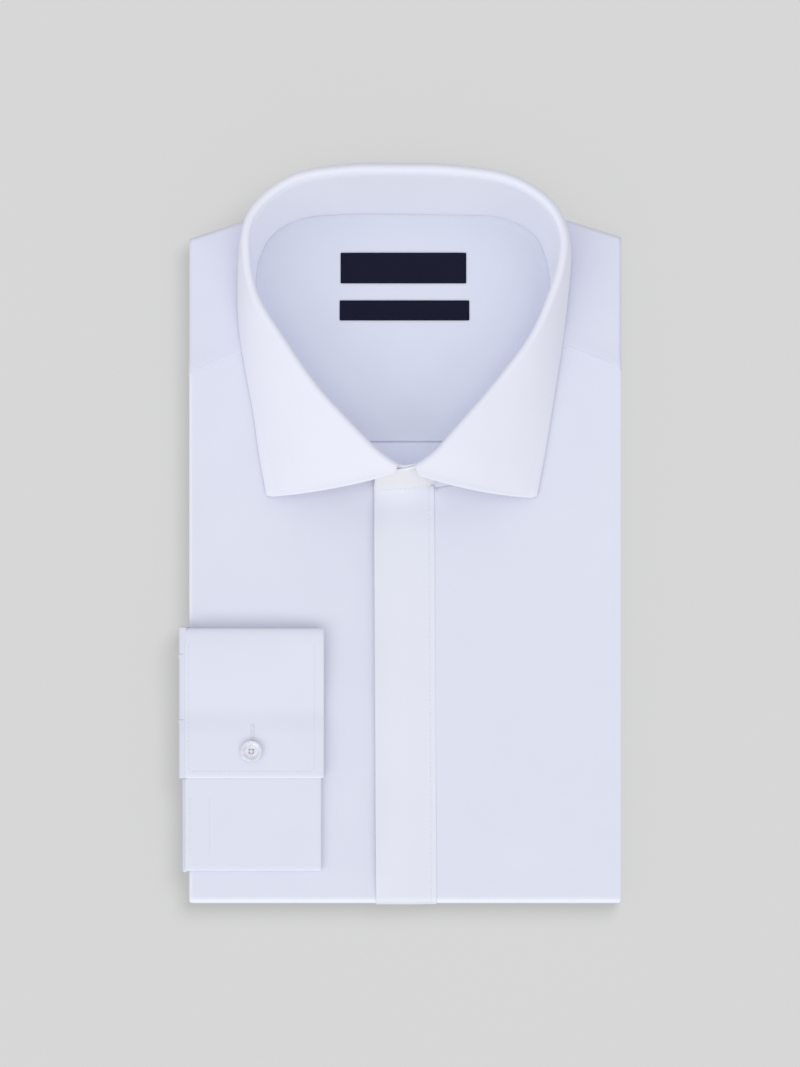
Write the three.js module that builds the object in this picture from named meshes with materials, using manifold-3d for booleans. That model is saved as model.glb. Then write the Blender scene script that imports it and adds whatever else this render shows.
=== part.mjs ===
// A long sleeve dress shirt, pressed, folded and laid flat with its collar standing open.
// Millimetres. +X to the wearer's left, +Y towards the collar, +Z up from the table.
import * as THREE from 'three';
import { mergeVertices } from 'three/addons/utils/BufferGeometryUtils.js';
import Module from 'manifold-3d';

// Cloth
const GAP = 0.3; // left between pieces at seams
const CLOTH = 1.2; // one wall of shirting, pressed
const STIFF = 1.4; // collar, cuff and fly, which are doubled and interlined

// Folded body, as the corners of its outline; each names the edge that runs on from it
const SIDE_LEFT = -110;
const SIDE_RIGHT = 115.2;
const CORNERS = [
  { x: SIDE_LEFT, y: -191.8, edge: 'hem', round: 3 },
  { x: SIDE_RIGHT, y: -192.2, edge: 'side', round: 3 },
  { x: SIDE_RIGHT, y: 154.9, edge: 'end', round: 3 },
  { x: 86.8, y: 163.8, edge: 'end', round: 0 },
  { x: 55, y: 169.5, edge: 'end', round: 0 },
  { x: -50, y: 169.5, edge: 'end', round: 0 },
  { x: -79.8, y: 163.8, edge: 'end', round: 0 },
  { x: SIDE_LEFT, y: 153.9, edge: 'side', round: 3 },
];
const FRONT_TOP = 18.2; // height of the front's face
const HALF = 9.1; // height at which the upper and the turned-under halves meet
const HEM_LOW = 2.1; // underside of the front where it turns under at the bottom fold
const TUCK = 4; // how far the front runs back in under its side folds
const SIDE_SQUARE = 0.62; // depth of a side fold, as a share of a round one's
const HEM_SQUARE = 0.48; // and of the bottom fold
const FOLD_STEPS = 10; // facets round a fold
const CORNER_STEPS = 4;
const UNDER_LAYERS = 3; // folds that show one above another at the shoulder end
const BOTTOM_INSET = 3.2; // rounding of the turned-under half
const UNDER_INSET = 0.8; // the turned-under half lies this far inside the front's outline
const UNDER_STAGGER = 1.6; // step from one of its folds to the next, at the shoulder end
const UNDER_HEM = 9.4; // it starts this far in from the bottom fold
const UPPER_HEM = 3; // and the layers above it, beyond their own inset
const JOIN = { side: 8, hem: 10 }; // core that joins the two

// Front seams
const YOKE_SEAM_LEFT = [{ x: -64, y: 104.2 }, { x: -120, y: 79.5 }];
const YOKE_SEAM_RIGHT = [{ x: 64, y: 112.2 }, { x: 125, y: 81.3 }];
const FRONTS_MEET = 2;
const FLY = { left: -13.2, leftLow: -12.1, right: 17.4, top: 22.6 };

// Neck opening and its floor, which falls from the back of the neck to the front
const FLOOR_BACK = { y: 167, z: 15.6 };
const FLOOR_FRONT = { y: 30, z: 9 };
const INSIDE_YOKE_SEAM = 48.7;
const NECK_INSET = 0.9; // the opening's edge lies this far inside the middle of the stand

// Collar, a row for each place round the neck, from the wearer's right front round the back.
// neck is the middle of the stand's lower edge, fold the top of the stand, edge the leaf's outer edge.
const COLLAR = [
  // neck x, y; fold x, y, z; edge x, y, z
  [-8.5, 26, -5.1, 36.5, 43.5, -69.1, 20.1, 19.6],
  [-25.1, 37.2, -23, 54.9, 45, -73, 41.4, 19.5],
  [-42.8, 58.1, -43.4, 77.3, 46, -75.9, 62.2, 19.5],
  [-60, 83.6, -61.8, 103.9, 46.6, -80.3, 86.2, 19.5],
  [-72, 108.6, -74, 124.5, 46.8, -83.4, 106.5, 19.5],
  [-75.9, 129.9, -78.2, 144, 46.9, -84.2, 123.7, 19.5],
  [-73.8, 144.5, -77.2, 161.7, 46.9, -82.4, 147.1, 19.6],
  [-66.8, 156.5, -70.2, 172.6, 46.8, -78.6, 165.1, 17.5],
  [-52.2, 164.8, -54.3, 183.6, 46.7, -66.3, 179.4, 9.5],
  [-27.7, 167.4, -28.8, 188.3, 46.7, -32.4, 191.1, 7],
  [0, 167.4, 0, 188.8, 46.7, 0, 192, 7],
  [27.5, 166.9, 28.5, 188, 46.7, 32.2, 190.6, 7],
  [53, 165.6, 57.7, 182.8, 46.7, 69.2, 179.7, 9.5],
  [70.7, 156, 76, 170.5, 46.8, 84.3, 164.9, 17.5],
  [77, 141.9, 82.9, 156.5, 46.9, 88.1, 146.5, 19.6],
  [78.5, 129.5, 82.2, 142, 46.9, 87.2, 128, 19.5],
  [75.9, 110.7, 77.6, 126, 46.8, 85.6, 112, 19.5],
  [63.4, 84.6, 67.8, 103.9, 46.6, 82.6, 90, 19.5],
  [45.7, 59.1, 49.3, 78.9, 46, 78.7, 65.5, 19.5],
  [29.6, 37.6, 28.7, 54.9, 45, 75.2, 44, 19.5],
  [16, 25.6, 12.1, 35.9, 43.5, 70.6, 19.5, 19.6],
];
const NECK_Z = FRONT_TOP + 0.4; // foot of the stand
const STAND_SHARE = 0.94; // of the way from the neck to the fold
const LEAF_SHARE = 0.96;
const ROLL = 1.7; // radius of the leaf's roll, at the middle of its wall
const ROLL_STEPS = 6;
const FALL_STEPS = 5;
const FALL_BULGE = 2.2;
const FRONT_BOW = { start: 4.0, end: 4.8 }; // how far its front edges swell beyond its end stations
const STATIONS = 60; // round the neck
// Front ends of the stand, buttoned over each other
const UNDER_END = [
  { neckX: 2, neckY: 26, foldX: 2.5, foldY: 36.6 },
  { neckX: 13, neckY: 26, foldX: 13, foldY: 35.6 },
];
const OVER_END = [
  { neckX: 4, neckY: 23.8, foldX: 3.2, foldY: 34.2 },
  { neckX: -13.2, neckY: 23.6, foldX: -12.4, foldY: 33.4 },
];
const END_Z = 42.6;
const END_DROP = 1.2; // the ends are a little lower at their tips

// Cuff: its circumference runs along Y, its wrist edge faces +X
const CUFF = {
  top: -48.7, bottom: -175.2, overEnd: -126.3, underEnd: -104.4,
  left: -111.5, wrist: -40.2, wristUnder: -41.6,
};
const CUFF_LIFT = 0.35;
const CUFF_WALL = 1.2;
const LAYER = CUFF_WALL + CUFF_LIFT; // from one layer of the cuff to the next
const CUFF_RAMP = 8; // where the buttonhole end climbs onto the button end
const CUFF_ROLL = { deep: 4, puff: 2.4, lift: 1 }; // its top fold is a soft roll, a little off the front

// Sleeve, from inside the fold at the wearer's right, round the side and into the cuff
const SLEEVE = { inside: -103, under: { side: -112.8, turn: 0.9 }, upper: { side: -114.6, turn: 1.2 } };
const SLEEVE_ARM = 10.2; // height of the inner layer where it comes out of the fold
const PLEATS = [-62, -96.2]; // folds in the outer layer, where it is gathered into the cuff
const PLEAT_DEPTH = 0.3;

// Small pieces
const BUTTON = { x: -77.5, y: -112.8, radius: 5.8, height: 2.4, rim: 1.3, dish: 0.6 };
const LABELS = [
  { name: 'label_main', x: 1.7, y: 138.8, width: 65.1, depth: 15.6, height: 0.5 },
  { name: 'label_small', x: 2.2, y: 116.7, width: 67.2, depth: 9.9, height: 0.5 },
];

const wasm = await Module();
wasm.setup();

// A closed mesh as a solid that can be joined and cut
function solid(geometry) {
  const bare = geometry.index ? geometry.toNonIndexed() : geometry.clone();
  bare.deleteAttribute('normal');
  bare.deleteAttribute('uv');
  const merged = mergeVertices(bare, 1e-3);
  const vertProperties = new Float32Array(merged.attributes.position.array);
  const triVerts = new Uint32Array(merged.index.array);
  return new wasm.Manifold(new wasm.Mesh({ numProp: 3, vertProperties, triVerts }));
}

// The faces of a solid, back as a geometry
function faces(cut) {
  const mesh = cut.getMesh();
  const count = mesh.vertProperties.length / mesh.numProp;
  const position = new Float32Array(count * 3);
  for (let i = 0; i < count; i++) {
    for (let k = 0; k < 3; k++) position[i * 3 + k] = mesh.vertProperties[i * mesh.numProp + k];
  }
  const geometry = new THREE.BufferGeometry();
  geometry.setAttribute('position', new THREE.BufferAttribute(position, 3));
  geometry.setIndex([...mesh.triVerts]);
  return geometry;
}

// Turns a list of corners and triangles into a geometry whose faces point out
function closed(points, triangles) {
  let volume = 0;
  for (const [a, b, c] of triangles) {
    volume += points[a].dot(new THREE.Vector3().crossVectors(points[b], points[c]));
  }
  const index = triangles.flatMap(([a, b, c]) => (volume > 0 ? [a, b, c] : [a, c, b]));
  const geometry = new THREE.BufferGeometry().setFromPoints(points);
  geometry.setIndex(index);
  return geometry;
}

// A closed body through a stack of rings with the same number of points
function loft(rings) {
  const count = rings[0].length;
  const points = rings.flat();
  const triangles = [];
  const cap = (ring, from, last) => {
    const flat = ring.map((p) => new THREE.Vector2(p.x, p.y));
    const turned = THREE.ShapeUtils.isClockWise(flat) !== last;
    for (const [a, b, c] of THREE.ShapeUtils.triangulateShape(flat, [])) {
      triangles.push(turned ? [from + a, from + c, from + b] : [from + a, from + b, from + c]);
    }
  };
  cap(rings[0], 0, false);
  for (let r = 0; r + 1 < rings.length; r++) {
    for (let i = 0; i < count; i++) {
      const a = r * count + i;
      const b = r * count + ((i + 1) % count);
      triangles.push([a, a + count, b], [b, a + count, b + count]);
    }
  }
  cap(rings[rings.length - 1], (rings.length - 1) * count, true);
  return closed(points, triangles);
}

// A closed wall of one thickness about a grid of points, thickened along its own normals
function wall(grid, thickness) {
  const rows = grid.length;
  const columns = grid[0].length;
  const sides = [[], []];
  for (let i = 0; i < rows; i++) {
    for (let j = 0; j < columns; j++) {
      const along = grid[Math.min(i + 1, rows - 1)][j].clone().sub(grid[Math.max(i - 1, 0)][j]);
      const across = grid[i][Math.min(j + 1, columns - 1)].clone().sub(grid[i][Math.max(j - 1, 0)]);
      const normal = along.cross(across).normalize();
      sides[0].push(grid[i][j].clone().addScaledVector(normal, thickness / 2));
      sides[1].push(grid[i][j].clone().addScaledVector(normal, -thickness / 2));
    }
  }
  const half = rows * columns;
  const triangles = [];
  const quad = (a, b, c, d) => triangles.push([a, b, c], [a, c, d]);
  const at = (i, j) => i * columns + j;
  for (let i = 0; i + 1 < rows; i++) {
    for (let j = 0; j + 1 < columns; j++) {
      quad(at(i, j), at(i + 1, j), at(i + 1, j + 1), at(i, j + 1));
      quad(half + at(i, j), half + at(i, j + 1), half + at(i + 1, j + 1), half + at(i + 1, j));
    }
  }
  for (let i = 0; i + 1 < rows; i++) {
    quad(at(i, 0), half + at(i, 0), half + at(i + 1, 0), at(i + 1, 0));
    const [near, far] = [at(i, columns - 1), at(i + 1, columns - 1)];
    quad(far, half + far, half + near, near);
  }
  for (let j = 0; j + 1 < columns; j++) {
    quad(at(0, j + 1), half + at(0, j + 1), half + at(0, j), at(0, j));
    quad(at(rows - 1, j), half + at(rows - 1, j), half + at(rows - 1, j + 1), at(rows - 1, j + 1));
  }
  return closed(sides.flat(), triangles);
}

// A prism over an outline, from one height to another
function prism(outline, low, high) {
  const shape = new THREE.Shape(outline.map((p) => new THREE.Vector2(p.x, p.y)));
  const geometry = new THREE.ExtrudeGeometry(shape, { depth: high - low, bevelEnabled: false });
  return geometry.translate(0, 0, low);
}

// Body outline, moved in from each kind of edge by its own inset and set at its own height
function bodyRing(inset, height) {
  const count = CORNERS.length;
  const edges = CORNERS.map((from, i) => {
    const to = CORNERS[(i + 1) % count];
    const run = new THREE.Vector2(to.x - from.x, to.y - from.y).normalize();
    const inward = new THREE.Vector2(-run.y, run.x);
    const start = new THREE.Vector2(from.x, from.y).addScaledVector(inward, inset[from.edge]);
    return { run, start, z: height[from.edge] };
  });
  const ring = [];
  for (let i = 0; i < count; i++) {
    const before = edges[(i + count - 1) % count];
    const after = edges[i];
    const gap = after.start.clone().sub(before.start);
    const along = gap.cross(after.run) / before.run.cross(after.run);
    const corner = before.start.clone().addScaledVector(before.run, along);
    const steps = CORNERS[i].round ? CORNER_STEPS : 0;
    for (let k = 0; k <= steps; k++) {
      const t = steps ? k / steps : 0.5;
      const back = CORNERS[i].round * (1 - t) ** 2;
      const on = CORNERS[i].round * t ** 2;
      const p = corner.clone().addScaledVector(before.run, -back).addScaledVector(after.run, on);
      ring.push(new THREE.Vector3(p.x, p.y, before.z + (after.z - before.z) * t));
    }
  }
  return ring;
}

// Section of cloth that turns round a fold: over it, in underneath, and back along the inside.
// square is how deep the fold is, as a share of a round one's depth.
function foldSection(top, bottom, square, thickness, out) {
  const radius = (top - bottom) / 2;
  const middle = (top + bottom) / 2;
  const depth = (radius - out) * square;
  const arc = (wall, k) => {
    const turn = Math.PI * (0.5 - k / FOLD_STEPS);
    const inset = depth - (depth + out - wall) * Math.cos(turn);
    return { inset, z: middle + (radius - wall) * Math.sin(turn) };
  };
  const steps = [...Array(FOLD_STEPS + 1).keys()];
  const outer = steps.map((k) => arc(0, k));
  const inner = steps.map((k) => arc(thickness, FOLD_STEPS - k));
  const end = { inset: depth + TUCK, low: bottom, high: bottom + thickness };
  return [...outer, { inset: end.inset, z: end.low }, { inset: end.inset, z: end.high }, ...inner];
}

// Cloth over the whole face of the folded body, turned round its edges; out moves it off the body
function turnedCloth(out, thickness, hemLow) {
  const top = FRONT_TOP + out;
  const edge = foldSection(top, HALF + GAP - out, SIDE_SQUARE, thickness, out);
  const hem = foldSection(top, hemLow, HEM_SQUARE, thickness, out);
  return loft(edge.map((row, k) => {
    const inset = { side: row.inset, end: row.inset, hem: hem[k].inset };
    return bodyRing(inset, { side: row.z, end: row.z, hem: hem[k].z });
  }));
}

// Stations round the neck, as smooth curves through the collar's rows
function collarCurve(point) {
  return new THREE.CatmullRomCurve3(COLLAR.map(point), false, 'centripetal');
}
const neckLine = collarCurve(([x, y]) => new THREE.Vector3(x, y, NECK_Z));
const foldLine = collarCurve(([, , x, y, z]) => new THREE.Vector3(x, y, z));
const edgeLine = collarCurve(([, , , , , x, y, z]) => new THREE.Vector3(x, y, z));
const mix = (a, b, share) => a.clone().lerp(b, share);

// Neck opening, seen from above
function neckOutline(inset) {
  return [...Array(STATIONS + 1).keys()].map((k) => {
    const p = neckLine.getPoint(k / STATIONS);
    const run = neckLine.getTangent(k / STATIONS);
    return new THREE.Vector2(p.x + run.y * inset, p.y - run.x * inset);
  });
}
function floorAt(y) {
  const fall = (FLOOR_BACK.z - FLOOR_FRONT.z) / (FLOOR_BACK.y - FLOOR_FRONT.y);
  return FLOOR_FRONT.z + (y - FLOOR_FRONT.y) * fall;
}
// A slab over the floor of the opening, from one height above the floor to another
function onFloor(outline, low, high, level) {
  const lower = outline.map((p) => new THREE.Vector3(p.x, p.y, floorAt(p.y) + low));
  const upper = outline.map((p) => new THREE.Vector3(p.x, p.y, level ? high : floorAt(p.y) + high));
  return loft([lower, upper]);
}

const part = new THREE.Group();
const white = { color: 0xf3f4fb, roughness: 0.85, metalness: 0 };
const collarWhite = { color: 0xf8f9ff, roughness: 0.8, metalness: 0 };
const insideWhite = { color: 0xe4e6f2, roughness: 0.85, metalness: 0 };
const navy = { color: 0x0c0e1f, roughness: 0.6, metalness: 0 };
const pearl = { color: 0xe9ebe4, roughness: 0.3, metalness: 0 };
function add(name, geometry, look) {
  const mesh = new THREE.Mesh(geometry, new THREE.MeshStandardMaterial(look));
  mesh.name = name;
  part.add(mesh);
}

// Cutters: the neck opening, and the way out for the sleeve
const neckCut = solid(onFloor(neckOutline(NECK_INSET), 0, 2 * FRONT_TOP, true));
const sleeveWay = {
  x: [SIDE_LEFT - 5, SLEEVE.inside + 0.8],
  y: [CUFF.bottom - 1, CUFF.top + 1],
  z: [SLEEVE_ARM - LAYER - 0.9, SLEEVE_ARM + 0.9],
};
const sleeveCut = solid(prism([
  { x: sleeveWay.x[0], y: sleeveWay.y[0] }, { x: sleeveWay.x[1], y: sleeveWay.y[0] },
  { x: sleeveWay.x[1], y: sleeveWay.y[1] }, { x: sleeveWay.x[0], y: sleeveWay.y[1] },
], ...sleeveWay.z));

// Fronts and yoke, cut from the cloth that is turned round the folded body
const skin = solid(turnedCloth(0, CLOTH, HEM_LOW)).subtract(neckCut).subtract(sleeveCut);
const FAR = 250;
const TALL = [-10, 60];
const beyond = { left: { x: -FAR, y: YOKE_SEAM_LEFT[1].y }, right: { x: FAR, y: YOKE_SEAM_RIGHT[1].y } };
const seamFrom = (drop) => [
  { x: -FAR, y: beyond.left.y - drop },
  ...[YOKE_SEAM_LEFT[1], YOKE_SEAM_LEFT[0], YOKE_SEAM_RIGHT[0], YOKE_SEAM_RIGHT[1]]
    .map((p) => ({ x: p.x, y: p.y - drop })),
  { x: FAR, y: beyond.right.y - drop },
];
const above = solid(prism([...seamFrom(0), { x: FAR, y: FAR }, { x: -FAR, y: FAR }], ...TALL));
const below = [...seamFrom(GAP)];
const block = (x0, x1, y0, y1) => solid(prism([
  { x: x0, y: y0 }, { x: x1, y: y0 }, { x: x1, y: y1 }, { x: x0, y: y1 },
], ...TALL));
const lower = solid(prism([{ x: -FAR, y: -FAR }, { x: FAR, y: -FAR }, ...below.reverse()], ...TALL));
const fronts = skin.intersect(lower);
add('front_under', faces(fronts.intersect(block(-FAR, FRONTS_MEET - GAP, -FAR, FAR))), white);
add('front_over', faces(fronts.intersect(block(FRONTS_MEET, FAR, -FAR, FAR))), white);
add('yoke', faces(skin.intersect(above)), white);

// Fly placket, a doubled strip down the over front, moved out from the front's own cloth
const flyCloth = solid(turnedCloth(GAP + STIFF, STIFF, HEM_LOW - GAP - STIFF));
const flyStrip = solid(prism([
  { x: FLY.leftLow, y: -FAR }, { x: FLY.right + 1, y: -FAR },
  { x: FLY.right, y: FLY.top }, { x: FLY.left, y: FLY.top },
], ...TALL));
add('fly_placket', faces(flyCloth.intersect(flyStrip)), white);

// Folded layers: the turned-under half, and what the front lies on
const underRows = [...Array(UNDER_LAYERS * FOLD_STEPS + 1).keys()].map((k) => {
  const share = k / (UNDER_LAYERS * FOLD_STEPS);
  const round = (1 - Math.sqrt(Math.max(0, 1 - (2 * share - 1) ** 2)));
  const layer = Math.abs(Math.sin(Math.PI * UNDER_LAYERS * share));
  const side = UNDER_INSET + BOTTOM_INSET * round;
  return { z: (HALF - GAP) * share, side, end: side + UNDER_STAGGER * (1 - layer) };
});
const levelRing = (side, end, hem, z) => bodyRing({ side, end, hem }, { side: z, end: z, hem: z });
const under = solid(loft(underRows.map((row) => levelRing(row.side, row.end, UNDER_HEM, row.z))));
const upperRows = foldSection(FRONT_TOP - CLOTH - GAP, HALF + 2 * GAP + CLOTH, SIDE_SQUARE, CLOTH, 0)
  .slice(0, FOLD_STEPS + 1).reverse();
const insideFold = CLOTH + GAP;
const upper = solid(loft(upperRows.map((row) => {
  const inset = row.inset + insideFold;
  return levelRing(inset, inset, inset + UPPER_HEM, row.z);
})));
const join = solid(loft([HALF - 1, HALF + 3].map((z) => levelRing(JOIN.side, JOIN.side, JOIN.hem, z))));
const room = solid(turnedCloth(GAP, CLOTH + 2 * GAP, HEM_LOW - GAP));
const layers = under.add(join).add(upper).subtract(room).subtract(neckCut).subtract(sleeveCut);
add('folded_layers', faces(layers), white);

// Inside of the neck: the inner yoke, and the back below its seam
const inside = neckOutline(NECK_INSET + GAP);
const floorCloth = solid(onFloor(inside, GAP, GAP + CLOTH, false));
const aboveSeam = block(-FAR, FAR, INSIDE_YOKE_SEAM, FAR);
const belowSeam = block(-FAR, FAR, -FAR, INSIDE_YOKE_SEAM - GAP);
add('yoke_inside', faces(floorCloth.intersect(aboveSeam)), insideWhite);
add('back_inside', faces(floorCloth.intersect(belowSeam)), insideWhite);
const slope = Math.atan2(FLOOR_BACK.z - FLOOR_FRONT.z, FLOOR_BACK.y - FLOOR_FRONT.y);
for (const label of LABELS) {
  const half = { x: label.width / 2, y: label.depth / 2 };
  const outline = [[-1, -1], [1, -1], [1, 1], [-1, 1]].map(([x, y]) => ({ x: x * half.x, y: y * half.y }));
  const strip = prism(outline, 0, label.height).rotateX(slope);
  add(label.name, strip.translate(label.x, label.y, floorAt(label.y) + CLOTH + 2 * GAP), navy);
}

// Collar stand, from the under end round the neck to the over end
function standStation(neck, fold) {
  return [0, 0.33, 0.66, 1].map((t) => mix(neck, fold, t * STAND_SHARE));
}
const endStation = (row, drop) => standStation(
  new THREE.Vector3(row.neckX, row.neckY, NECK_Z),
  new THREE.Vector3(row.foldX, row.foldY, END_Z - drop),
);
const standGrid = [
  endStation(UNDER_END[1], END_DROP),
  endStation(UNDER_END[0], 0),
  ...[...Array(STATIONS + 1).keys()].map((k) =>
    standStation(neckLine.getPoint(k / STATIONS), foldLine.getPoint(k / STATIONS))),
  endStation(OVER_END[0], 0),
  endStation(OVER_END[1], END_DROP),
];
add('collar_stand', wall(standGrid, STIFF), collarWhite);

// Collar leaf: up from the stand, over its roll and down to its edge
function leafStation(t) {
  const neck = neckLine.getPoint(t);
  const fold = foldLine.getPoint(t);
  const edge = edgeLine.getPoint(t);
  const run = foldLine.getTangent(t);
  const up = new THREE.Vector3(0, 0, 1);
  const out = new THREE.Vector3(-run.y, run.x, 0).normalize();
  const angle = (v) => Math.atan2(v.dot(up), v.dot(out));
  const from = angle(fold.clone().sub(neck));
  const to = angle(edge.clone().sub(fold));
  const section = [mix(neck, fold, LEAF_SHARE)];
  for (let k = 0; k <= ROLL_STEPS; k++) {
    const turn = from + ((to - from) * k) / ROLL_STEPS;
    const across = ROLL * (Math.sin(from) - Math.sin(turn));
    const rise = ROLL * (Math.cos(turn) - Math.cos(from));
    section.push(fold.clone().addScaledVector(out, across).addScaledVector(up, rise));
  }
  const start = section[section.length - 1];
  const control = mix(start, edge, 0.5);
  control.addScaledVector(out, FALL_BULGE * 0.7).addScaledVector(up, FALL_BULGE);
  for (let k = 1; k <= FALL_STEPS; k++) {
    const s = k / FALL_STEPS;
    section.push(mix(mix(start, control, s), mix(control, edge, s), s));
  }
  return section;
}
// The swell of a front edge beyond its end station, from the stand's seam to the leaf's tip
function bowed(section, bow) {
  return section.map((p, k) => {
    const rolled = Math.min(1, k / (ROLL_STEPS + 1));
    const fallen = Math.max(0, (k - ROLL_STEPS - 1) / FALL_STEPS);
    const share = (0.75 * rolled * rolled + 1.7 * fallen) * (1 - fallen);
    return new THREE.Vector3(p.x, p.y - bow * share, p.z);
  });
}
const leafStations = [...Array(STATIONS + 1).keys()].map((k) => leafStation(k / STATIONS));
const leafGrid = [
  bowed(leafStations[0], FRONT_BOW.start),
  ...leafStations,
  bowed(leafStations[STATIONS], FRONT_BOW.end),
];
add('collar_leaf', wall(leafGrid, STIFF), collarWhite);

// Cuff: one strip wound round, its buttonhole end lying over its button end
const layerZ = (n) => FRONT_TOP + CUFF_LIFT + CUFF_WALL / 2 + n * LAYER;
function cuffSection() {
  const turn = LAYER / 2;
  const rollY = CUFF.top - CUFF_WALL / 2 - CUFF_ROLL.deep;
  const hemY = CUFF.bottom + CUFF_WALL / 2 + turn;
  const puff = (y) => CUFF_ROLL.puff * THREE.MathUtils.smoothstep(y, CUFF.underEnd, rollY);
  const fold = (y, deep, low, high) => [...Array(5).keys()].map((k) => {
    const a = Math.PI * (k / 4);
    return { y: y + deep * Math.sin(a), z: (low + high) / 2 + ((high - low) / 2) * Math.cos(a) };
  });
  const climbed = CUFF.underEnd + 1 + CUFF_RAMP;
  const halfway = (CUFF.top + CUFF.underEnd) / 2 + CUFF_RAMP;
  return [
    { y: CUFF.overEnd, z: layerZ(2) },
    { y: CUFF.underEnd + 1, z: layerZ(2) },
    { y: climbed, z: layerZ(1) + puff(climbed) + 0.2 },
    { y: halfway, z: layerZ(1) + puff(halfway) },
    ...fold(rollY, CUFF_ROLL.deep, layerZ(0) + CUFF_ROLL.lift, layerZ(1) + CUFF_ROLL.puff),
    { y: halfway, z: layerZ(0) },
    ...fold(hemY, -turn, layerZ(1), layerZ(0)),
    { y: (CUFF.bottom + CUFF.overEnd) / 2, z: layerZ(1) },
    { y: CUFF.underEnd, z: layerZ(1) },
  ];
}
const cuffRows = cuffSection();
const cuffGrid = cuffRows.map((row, k) => {
  const wrist = k < cuffRows.length / 2 ? CUFF.wrist : CUFF.wristUnder;
  return [CUFF.left, (CUFF.left + wrist) / 2, wrist].map((x) => new THREE.Vector3(x, row.y, row.z));
});
add('cuff', wall(cuffGrid, CUFF_WALL), collarWhite);

// Sleeve layers: out of the side fold, up round it and on to the cuff
function sleeveSection(layer, topZ, armZ) {
  const r = layer.turn;
  const arc = (z, from) => [0, 1, 2].map((k) => {
    const a = from + (Math.PI / 2) * (k / 2);
    return { x: layer.side + r + r * Math.cos(a), z: z + r * Math.sin(a) };
  });
  return [
    { x: CUFF.left - GAP, z: topZ },
    ...arc(topZ - r, Math.PI / 2),
    ...arc(armZ + r, Math.PI),
    { x: SLEEVE.inside, z: armZ },
  ];
}
function sleeveLayer(section, from, to, pleats) {
  const stops = [from, ...pleats.flatMap((y) => [y + 1.2, y + 0.2, y - 0.2]), to];
  return stops.map((y) => {
    const deep = pleats.some((p) => Math.abs(y - p - 0.2) < 0.01) ? PLEAT_DEPTH : 0;
    return section.map((p, k) => new THREE.Vector3(p.x + (k ? deep : 0), y, p.z));
  });
}
const underSleeve = sleeveSection(SLEEVE.under, layerZ(0), SLEEVE_ARM);
const upperSleeve = sleeveSection(SLEEVE.upper, layerZ(1), SLEEVE_ARM - LAYER);
const underGrid = sleeveLayer(underSleeve, CUFF.top - 0.4, CUFF.bottom + 0.4, []);
const upperGrid = sleeveLayer(upperSleeve, CUFF.top, CUFF.overEnd, PLEATS);
add('sleeve_under', wall(underGrid, CUFF_WALL), white);
add('sleeve_upper', wall(upperGrid, CUFF_WALL), white);

// Cuff button, turned, with a raised rim round a shallow dish
const rimTop = BUTTON.height;
const dishTop = BUTTON.height - BUTTON.dish;
const buttonProfile = [
  [0, 0], [BUTTON.radius - 1.4, 0], [BUTTON.radius, 1],
  [BUTTON.radius, rimTop - 0.4], [BUTTON.radius - 0.5, rimTop],
  [BUTTON.radius - BUTTON.rim, rimTop], [BUTTON.radius - BUTTON.rim - 0.7, dishTop], [0, dishTop],
].map(([r, z]) => new THREE.Vector2(r, z));
const button = new THREE.LatheGeometry(buttonProfile, 28).rotateX(Math.PI / 2);
add('cuff_button', button.translate(BUTTON.x, BUTTON.y, layerZ(2) + CUFF_WALL / 2 + GAP), pearl);

export default part;
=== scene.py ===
from math import cos, exp, pi, radians, sin

import bpy
import numpy as np
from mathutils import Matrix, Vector


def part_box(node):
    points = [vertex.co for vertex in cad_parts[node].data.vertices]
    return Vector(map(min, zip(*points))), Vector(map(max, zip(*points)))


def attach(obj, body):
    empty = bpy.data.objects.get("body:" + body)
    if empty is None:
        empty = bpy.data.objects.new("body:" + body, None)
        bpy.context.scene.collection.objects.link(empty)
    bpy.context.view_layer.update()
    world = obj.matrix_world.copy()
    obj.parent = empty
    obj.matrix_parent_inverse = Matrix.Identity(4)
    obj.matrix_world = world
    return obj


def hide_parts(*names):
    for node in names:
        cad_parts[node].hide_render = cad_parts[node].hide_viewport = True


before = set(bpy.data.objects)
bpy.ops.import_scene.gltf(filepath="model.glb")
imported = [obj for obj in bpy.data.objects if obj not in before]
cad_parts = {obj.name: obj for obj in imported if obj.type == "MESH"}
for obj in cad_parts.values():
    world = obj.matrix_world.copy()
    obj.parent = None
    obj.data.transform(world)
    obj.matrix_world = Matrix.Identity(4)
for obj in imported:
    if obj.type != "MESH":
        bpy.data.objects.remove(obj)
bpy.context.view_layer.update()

# Turned-under half
# The lower half of the shirt is turned under along the bottom fold, so its front lies on the table.
# It is a flattened tube of poplin: the front outside, the back inside it, and their two hems at the
# shoulder end, turned twice and stitched.
scene = bpy.context.scene
MM = 0.001
CLOTH = 0.7  # one pressed layer, as thick as it is drawn
SIDE_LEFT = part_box("front_under")[0].x / MM
SIDE_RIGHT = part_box("front_over")[1].x / MM
HEM_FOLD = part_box("front_over")[0].y / MM
FRONT_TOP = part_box("front_over")[1].z / MM
MID = FRONT_TOP / 2  # the plane that the shirt is folded in half about
OUTER = MID - CLOTH / 2  # from that plane to the middle of the outside layer
HEM_LOW = 2.1  # the bottom fold's lower side is this far off the table, and settles on to it
HEM_REACH = 3.1  # how far the bottom fold swells beyond the line it turns about
BEND_Y = HEM_FOLD + HEM_REACH + CLOTH / 2
SETTLED = 16.0
SIDE_DEPTH = 0.42  # of a round fold's depth, as the folds are pressed nearly square
SHARP = 0.75
SIDE_STEPS = 18
TUCK_STEPS = 4
RIM_STEPS = 4
PARTED = 0.5  # the layers that face each other in the fold are this far from its plane
SLEEVE_WAY = {"low": -182.0, "high": -42.0, "ease": 14.0, "upper": 2.0, "under": 1.3}


def unit(v):
    return v / np.maximum(np.linalg.norm(v, axis=-1, keepdims=True), 1e-12)


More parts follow.
